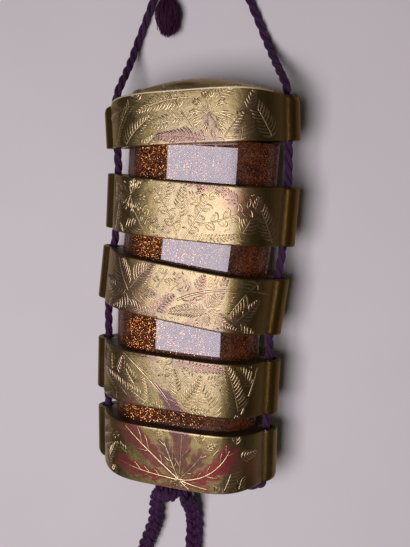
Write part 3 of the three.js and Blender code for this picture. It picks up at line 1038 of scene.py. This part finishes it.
# The base: one large leaf, its lobes set round a hub, and small ferns beside it.
HUB = (3.0, 2.9)
lobe(HUB, 143, 22, -4, 3.4, 0.8, 0.4, 6)
lobe(HUB, 179, 20, -14, 2.7, 0.95, 0.15, 5)
lobe(HUB, 84, 13.6, 6, 3.1, 0.45, 0.7, 4)
lobe(HUB, 116, 11.5, -6, 2.1, 0.1, 0.85, 4)
lobe(HUB, 2, 19, 66, 3.0, 1.0, 0.1, 5)
lobe(HUB, 44, 11, 14, 2.4, 0.35, 0.7, 3)
for way, reach in ((206, 7.0), (240, 5.0), (285, 4.5), (318, 6.0), (344, 8.5)):
    lobe(HUB, way, reach, 10, 1.7, 0.5, 0.3, 2)
frond((-21.5, 2.5), 74, 9, -25, 2.0)
frond((-13.0, 8.2), 160, 7, -30, 1.7)
frond((-4.5, 8.0), 118, 7, 12, 1.6)
frond((8.0, 8.5), 62, 9, -28, 1.8)
sprig((8.8, 4.6), 30, 7, 20)
wash(bent((18.5, 8.5), 0, 5.0, 0), (3.0, 4.0), 5.0, red=0.35)
wash(bent((-22.5, 13.0), 20, 4.0, 0), (2.0, 2.5), 3.0, red=0.3)
frond((16.5, 1.5), 66, 17, 26, 3.2, shade=0.35)
blade((13.0, 11.5), 52, 8, -20)

# The third tray: ferns in shade, seeds and a vine, a plum-coloured leaf, and arching fronds at the right.
blade((-15.5, 33.0), -34, 21, -14, 0.24)
sprig((-14.5, 32.2), -30, 10, -4, 1.3)
frond((-10.5, 17.6), 134, 16, 24, 2.9, shade=0.5)
frond((-17.5, 17.4), 84, 14, -8, 2.8, shade=0.5)
sprig((-6.4, 17.8), 92, 9, 14)
lobe((-4.6, 25.2), -43, 11.5, -16, 2.5, 0.1, 1.0, 4)
vine((-1.4, 25.6), 96, 8.5, -14)
frond((3.4, 19.4), 50, 11, 18, 2.4)
frond((0.6, 18.0), 4, 11, 8, 2.0)
frond((13.5, 16.6), 104, 17, 40, 3.2, lean=84, curl=40)
frond((20.5, 16.8), 98, 17, 16, 3.0, lean=84, curl=40)
frond((1.5, 32.2), 2, 14, -12, 2.5, tone="rose", shade=0.4)
blade((20.5, 17.8), 66, 15, 10, 0.26)

# The second tray: combed ferns from one root, a rose-coloured spray, and a long arching stem.
ROOT = (-14.0, 39.6)
for way, reach in ((126, 13.0), (62, 11.5), (180, 11.0), (12, 8.0), (232, 9.0)):
    frond(ROOT, way, reach, -16, 3.7, lean=76, curl=46, shade=0.5 if way > 60 else 0.35)
frond((-5.6, 33.0), 156, 15, 14, 3.1, lean=72, curl=50, shade=0.55)
frond((-6.0, 33.2), 66, 9.5, -26, 2.7, tone="rose", shade=0.3)
blade((-6.2, 40.5), 66, 9.0, -12, 0.18)
rolled((-4.0, 44.4), 80, 1.8, 1)
rolled((-1.2, 42.0), 60, 2.1, -1)
rolled((2.6, 44.8), 112, 1.7, 1)
blade((-4.5, 35.4), 46, 34.0, -58, 0.3)
frond((5.8, 39.8), 124, 9.5, 16, 2.6, tone="rose", shade=0.2)
frond((6.4, 40.0), 92, 8.0, -24, 2.4, tone="rose", shade=0.2)
SHADE_ROOT = (9.6, 38.8)
for way, reach in ((188, 11.0), (220, 8.5), (258, 7.0), (296, 8.0), (330, 9.5), (60, 11.0), (100, 9.0)):
    frond(SHADE_ROOT, way, reach, 12, 2.2, gap=0.8, shade=0.3)
frond((23.5, 48.5), 222, 14.0, 26, 3.2, gap=1.05)
frond((13.0, 33.4), 30, 14.0, 24, 3.2, gap=1.05, shade=0.3)
sprig((-1.5, 34.2), 18, 8, 20, 1.1)

# The top tray: a burst and seeds, vines with teardrop buds, and rose sprays against the upper edge.
burst((-16.0, 60.0), 10, 5.2)
frond((-22.8, 49.6), 80, 14, -14, 2.6, shade=0.3)
blade((-15.2, 57.0), -64, 8.5, 14, 0.2)
vine((-13.4, 56.0), -44, 10.5, 24, 1.7, 1.7)
frond((-20.0, 49.4), 24, 13, -8, 2.2, shade=0.2)
vine((-3.4, 49.2), 146, 14, -10)
vine((-1.2, 49.4), 108, 15, 24)
vine((0.8, 49.8), 58, 18, 10)
vine((4.6, 53.6), 14, 14, 16)
frond((2.0, 49.1), 6, 14, 10, 1.8)
burst((7.5, 64.6), 8, 5.0, 184, 172, False, "rose")
frond((20.0, 56.0), 146, 12, -14, 2.6, tone="rose", shade=0.25)
wash(bent((13.0, 59.8), 0, 7.0, 0), (2.4, 3.6, 2.4), 3.0, red=0.2)
frond((14.5, 49.2), 52, 14, 26, 2.8)
sprig((10.5, 49.6), 60, 7, 20)
frond((25.5, 50.0), 112, 14, 12, 2.8, shade=0.3)

# The lid: a stem that runs over the shoulder, a wide burst, and a rose-coloured spray along the lower edge.
sprig((-22.2, 65.5), 68, 12, -22, 1.7)
frond((-18.0, 64.6), 54, 12, -26, 2.5)
frond((1.6, 76.6), 178, 15, 26, 2.9, seeds=True)
blade((-7.0, 82.0), -52, 17, -4, 0.27)
burst((7.0, 72.6), 11, 6.8, seeds=False)
frond((9.6, 64.4), 164, 17, 14, 3.2, tone="rose", shade=0.4)
frond((9.8, 64.4), 120, 9.5, -16, 2.8, tone="rose", shade=0.3)
frond((10.2, 64.4), 62, 9.5, -20, 2.8)
frond((15.5, 64.4), 84, 13, -18, 3.0, shade=0.3)
frond((-3.5, 71.0), 196, 8, -24, 1.9)
frond((24.4, 65.0), 116, 13, 10, 2.8)

# The back is plainer: ferns in pairs outside the flat spot that the case rests on.
for side in (-1, 1):
    for low, lean_in in ((2.0, 12), (18.0, -10), (34.0, 12), (50.0, -10), (65.5, 12)):
        frond((side * 42.0, low), 90 + side * lean_in, 13.5, -side * lean_in * 2, 3.0)
        frond((side * 35.0, low + 1.5), 90 - side * lean_in, 11.0, side * lean_in * 2, 2.4)

FRONT_END = 22.0  # the ground that is filled in reaches this far from the middle
GROUND_TOP = 77.0
SEEDS = 260


def bare(along, height, reach):
    """Whether nothing has been drawn within reach of a place."""
    cells = range(-round(reach / CELL), round(reach / CELL) + 1)
    column, row = cell(along, height)
    return not any((column + i, row + j) in taken for i in cells for j in cells)


def sow(pitch, length, reach):
    """More ferns on the ground that is still bare, running in gently turning rows under all the rest."""
    for height in np.arange(1.2, GROUND_TOP, pitch):
        for along in np.arange(-FRONT_END, FRONT_END, pitch):
            settle()
            place = (along + draw.uniform(-0.4, 0.4) * pitch, height + draw.uniform(-0.4, 0.4) * pitch)
            if bare(*place, 0.65):
                lean = 90 + 75 * math.sin(place[0] / 6.5 + place[1] / 9.0) + draw.uniform(-12, 12)
                frond(beyond(place, lean, -length / 2), lean, length, draw.uniform(-30, 30), reach)


sow(pitch=2.7, length=8.5, reach=2.4)
settle()
for _ in range(SEEDS):
    seed = (draw.uniform(-FRONT_END, FRONT_END), draw.uniform(1, GROUND_TOP))
    if bare(*seed, 0.5):
        dot(*seed, draw.uniform(0.14, 0.2))
        settle()

# The outline laid flat for the drawing. "along" runs from the middle of the front, towards the right.
ROUND = SHELL[np.arange(3 * QUARTER_STEPS, -QUARTER_STEPS - 1, -1) % (4 * QUARTER_STEPS)]
ALONG = run_along(ROUND)
ALONG -= ALONG[-1] / 2
OUTWARD = np.gradient(ROUND, axis=0) @ ((0, 1), (-1, 0))
OUTWARD /= np.linalg.norm(OUTWARD, axis=1)[:, None]


def laid_on(node, along, height, lift):
    """The place (u, v, w) of a point of the drawing on a section, raised by lift."""
    u, w, out_u, out_w = (np.interp(along, ALONG, line) for line in (*ROUND.T, *OUTWARD.T))
    over = height - LID_HEIGHT
    if node != "lid" or over < 0:
        return u + out_u * lift, height, w + out_w * lift
    inward = w - over * math.copysign(1, w)
    scale = min(0.999, max(abs(inward) / max(abs(w), 0.1), abs(u) / DOME_END))
    return u, LID_HEIGHT - end_drop(u) + LID_DOME * domed(u, scale) + lift, inward


def relief_lines(node, tone):
    """The raised lines of one tone that fall on a section, in its own frame."""
    top = SECTIONS[node][0]
    high = top + OVER_DOME if node == "lid" else top - EDGE_MARGIN
    lines = []
    for points, kind in raised:
        heights = [point[1] - CLOSED_AT[node] for point in points]
        if kind != tone or max(heights) < 0 or min(heights) > high:
            continue
        runs = [[]]
        for (along, _, radius), height in zip(points, heights):
            u = np.interp(along, ALONG, ROUND[:, 0])
            low = EDGE_MARGIN + (brim_drop(u) if node == "case_4" else 0)
            if low < height < high and abs(u) < RELIEF_END:
                thick = radius * RELIEF_SPREAD * (SHOULDER_WORK if height > top else 1)
                runs[-1].append((*laid_on(node, along, height, -thick * RELIEF_SINK), thick))
            else:
                runs.append([])
        lines += [run for run in runs if len(run) > 1]
    if node == "lid" and tone == "gold":
        brim = [(u, w) for u, w in ROUND if abs(u) < BRIM_END and w > 0]
        lines.append([(u, LID_HEIGHT - brim_drop(u) + BRIM_LIFT, w, BRIM_BEAD) for u, w in brim])
    return lines


WASH_SPAN = (24, 16)  # no wash reaches further than this from its middle, along and up
BROWN_SHADE_FROM, BROWN_SHADE_OVER = 12, 12  # a section starts to darken and brown here, partly browning and partly painted shade, and is fully so much further out
# How strong the browning and painted shade are on the trays and lid, and on the base.
END_BROWN_SHADE, BASE_BROWN_SHADE = 0.9, 0.65
LEFT_END_SHADE_SHARE = 0.8  # the left end, on the window's side, is painted less shaded than the right
# Painted shade on the lid's domed top.
DOME_SHADE = 0.6
DOME_FROM, DOME_OVER = 0.4, 0.3  # the same on the lid's domed top, as heights over the brim
LEFT_HIGHLIGHT_AT = -23.9  # where a painted highlight runs as a thin bright line down the front's left end
LEFT_HIGHLIGHT_WIDTH = 0.2
LEFT_HIGHLIGHT = 0.7
BEAD_REACH, BEAD_SOFT = 0.55, 0.2  # how far from the bead its painted highlight ends, and how softly
BEAD_BRIGHT = (-22, -4, 16, 23), (0.4, 1, 1, 0.3)  # places across the lid, and how bright the bead's painted highlight is there


def paint(node, mesh, walls):
    """Red and plum, browning with painted shade, and painted highlight, as an attribute. The vertices before
    the one numbered walls are the body's own, and those after it are the raised work's."""
    at = np.empty(len(mesh.vertices) * 3)
    mesh.vertices.foreach_get("co", at)
    u, v, w = at.reshape(-1, 3).T
    turn = np.arctan2(ROUND[:, 1], ROUND[:, 0])
    order = np.argsort(turn)
    along = np.interp(np.arctan2(w, u), turn[order], ALONG[order])
    height = v + CLOSED_AT[node]
    tint = np.zeros((len(u), 4))
    for line, soft, red, plum in washes:
        gaps = np.abs(along - line[:, 0].mean()), np.abs(height - line[:, 1].mean())
        near = (gaps[0] < WASH_SPAN[0]) & (gaps[1] < WASH_SPAN[1])
        if not near.any():
            continue
        gap = np.hypot(along[near, None] - line[:, 0], height[near, None] - line[:, 1]) - line[:, 2]
        share = np.clip(0.5 - gap.min(axis=1) / soft, 0, 1)
        share = share * share * (3 - 2 * share)
        tint[near, 0] = np.maximum(tint[near, 0], share * red)
        tint[near, 1] = np.maximum(tint[near, 1], share * plum)
    if node == "case_4":
        tint[walls:, 1] = 0  # the veins of the large leaf stay bright
    # Browning towards the ends, partly painted shade, and less of it on the left end, which is on the
    # window's side.
    brown_and_shade = np.clip((np.abs(u) - BROWN_SHADE_FROM) / BROWN_SHADE_OVER, 0, 1)
    brown_and_shade *= (BASE_BROWN_SHADE if node == "case_4" else END_BROWN_SHADE) * np.where(u < 0, LEFT_END_SHADE_SHARE, 1.0)
    # Painted highlight: a thin bright line down the front's left end.
    painted_highlight = np.clip(1 - np.abs(u - LEFT_HIGHLIGHT_AT) / LEFT_HIGHLIGHT_WIDTH, 0, 1) * LEFT_HIGHLIGHT
    if node == "lid":
        over = v - LID_HEIGHT + brim_drop(u)
        # Painted shade on the lid's domed top.
        brown_and_shade = np.maximum(brown_and_shade, np.clip((over - DOME_FROM) / DOME_OVER, 0, 1) * DOME_SHADE)
        # Painted highlight along the bead of the lid's brim.
        bead = np.clip((BEAD_REACH - np.abs(over - BRIM_LIFT)) / BEAD_SOFT, 0, 1)
        painted_highlight[walls:] = np.maximum(painted_highlight, bead * np.interp(u, *BEAD_BRIGHT))[walls:]
    tint[:, 2] = brown_and_shade
    tint[:, 3] = np.where(w > 1.0, painted_highlight, 0)
    layer = mesh.color_attributes.new("tint", "FLOAT_COLOR", "POINT")
    layer.data.foreach_set("color", tint.astype(np.float32).ravel())


def section_piece(node, rings):
    """One section, cut, painted and carrying its raised work, set down in its place."""
    name = node + "_lacquer"
    body = drill(skin(name, rings))
    bm = bmesh.new()
    bm.from_mesh(body)
    for finish_place, tone in ((RAISED_GOLD, "gold"), (ROSE_GOLD, "rose")):
        lines = relief_lines(node, tone)
        if lines:
            relief = strands(name, lines, radius=1.0, facets=1)
            relief.uv_layers.remove(relief.uv_layers[0])
            for polygon in relief.polygons:
                polygon.material_index = finish_place
            bm.from_mesh(relief)
    mesh = bpy.data.meshes.new(name)
    bm.to_mesh(mesh)
    bm.free()
    paint(node, mesh, len(body.vertices))
    mesh.transform(set_down(node))
    made = piece(name, mesh, *FINISHES)
    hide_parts(node)
    return made


for node in SECTIONS:
    section_piece(node, {"lid": LID_RINGS, "case_4": BASE_RINGS}.get(node, TRAY_RINGS))

# ---- The cord that the case holds ----
# The same silk: down one row of channels, under the base, and up the other row.
END_PULL = 0.9  # how far inside a channel's mouth the cord starts to lean over to the next section
UNDER_MIDDLE = -4.15
# Down the lowest channel, out of its mouth and along the domed base to its middle, as (u, v).
UNDER_BASE = [
    (25.35, BASE_HEIGHT - END_PULL), (25.35, 9), (25.35, 3.2), (25.2, 1.3), (24.65, -0.1),
    (23.3, -1.0), (21, -1.65), (18, -2.35), (13.5, -3.2), (9, -3.8),
]


def lacing_side(side):
    """The cord's route on one side, from the top of the lid nearly to the middle of the base."""
    stops = [("lid", RUNNER_OFFSET, LID_HEIGHT - END_DROP + CORD_DIAMETER / MM / 2)]
    stops.append(("lid", RUNNER_OFFSET, END_PULL))
    for node in ("case_1", "case_2", "case_3"):
        stops += [(node, RUNNER_OFFSET, TRAY_HEIGHT - END_PULL), (node, RUNNER_OFFSET, END_PULL)]
    stops += [("case_4", u, v) for u, v in UNDER_BASE]
    return [set_down(node) @ Vector((side * u, v, 0.0)) for node, u, v in stops]


lacing_points = [
    *lacing_side(-1), set_down("case_4") @ Vector((0, UNDER_MIDDLE, 0)), *lacing_side(1)[::-1],
]
lacing = silk_piece("lacing_cord_silk", rope("lacing_cord_silk", route_through(lacing_points)))
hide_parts("lacing_cord")

# ---- Surface and light ----
# A plain pale floor, and the soft light of one window overhead, a little to the left.
FLOOR_SIZE = 3.0
FLOOR_DARK, FLOOR_LIGHT = rgb(0.745, 0.728, 0.675), rgb(0.795, 0.778, 0.721)
WINDOW_SIZE = (0.265, 0.25)
WINDOW_AT = (-0.055, -0.052, 0.425)
WINDOW_POWER = 1.48
WINDOW_COLOUR = (0.93, 0.855, 0.985)
ROOM_COLOUR = rgb(1.0, 0.95, 0.92)
ROOM_STRENGTH = 0.036


def pale_floor():
    made, place = material("pale_floor")
    finish(place, Base_Color=place.noise(30.0, 2.0).blend(FLOOR_DARK, FLOOR_LIGHT), Roughness=0.9)
    return made


floor_bm = bmesh.new()
bmesh.ops.create_grid(floor_bm, x_segments=1, y_segments=1, size=FLOOR_SIZE / 2)
floor = stand("floor", bpy.data.meshes.new("floor"))
floor_bm.to_mesh(floor.data)
floor_bm.free()
floor.data.materials.append(pale_floor())

window_data = bpy.data.lights.new("window", "AREA")
window_data.shape = "RECTANGLE"
window_data.size, window_data.size_y = WINDOW_SIZE
window_data.energy = WINDOW_POWER
window_data.color = WINDOW_COLOUR
window = stand("window", window_data)
window.location = WINDOW_AT

world = bpy.data.worlds.new("room")
world.use_nodes = True
room = world.node_tree.nodes["Background"]
room.inputs["Color"].default_value = ROOM_COLOUR
room.inputs["Strength"].default_value = ROOM_STRENGTH
bpy.context.scene.world = world
bpy.context.scene.view_settings.view_transform = "Standard"
